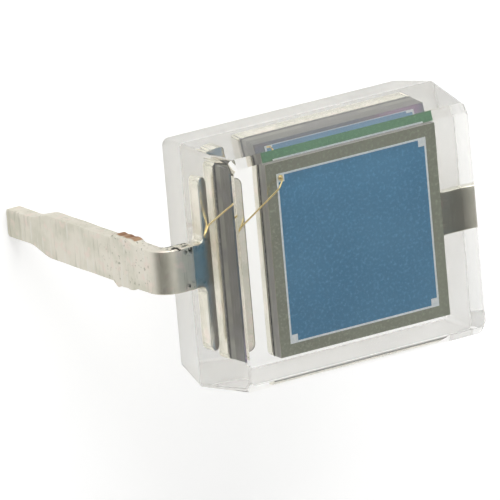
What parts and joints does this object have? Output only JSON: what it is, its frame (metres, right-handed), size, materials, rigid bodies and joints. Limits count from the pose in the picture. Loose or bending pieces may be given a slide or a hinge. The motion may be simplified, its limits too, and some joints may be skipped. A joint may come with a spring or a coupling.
{
  "type": "photodiode",
  "caption": "Clear moulded photodiode: a square silicon chip on a stamped lead frame, in a drafted epoxy block with two bent through-hole leads.",
  "frame": {"origin": "middle of the body's underside, where it seats on a circuit board", "axes": "+Z out of the window, square to the chip; +X from the anode lead to the cathode lead; +Y along the body's narrow side"},
  "size_m": [0.006, 0.004, 0.0056],
  "materials": {
    "clear_epoxy": "clear moulded",
    "tinned_frame": "matte tin over copper alloy",
    "die_adhesive": "silver-filled adhesive",
    "silicon": "sawn silicon",
    "field_oxide": "polished oxide",
    "blue_coating": "polished anti-reflection coating",
    "contact_metal": "evaporated metal",
    "gold": "drawn gold wire"
  },
  "bodies": {
    "root": {"epoxy_body": "clear_epoxy", "anode_lead": "tinned_frame", "cathode_lead": "tinned_frame", "die_attach": "die_adhesive", "silicon_die": "silicon", "oxide_border": "field_oxide", "active_area": "blue_coating", "contact_ring": "contact_metal", "bond_wire": "gold"}
  },
  "joints": []
}
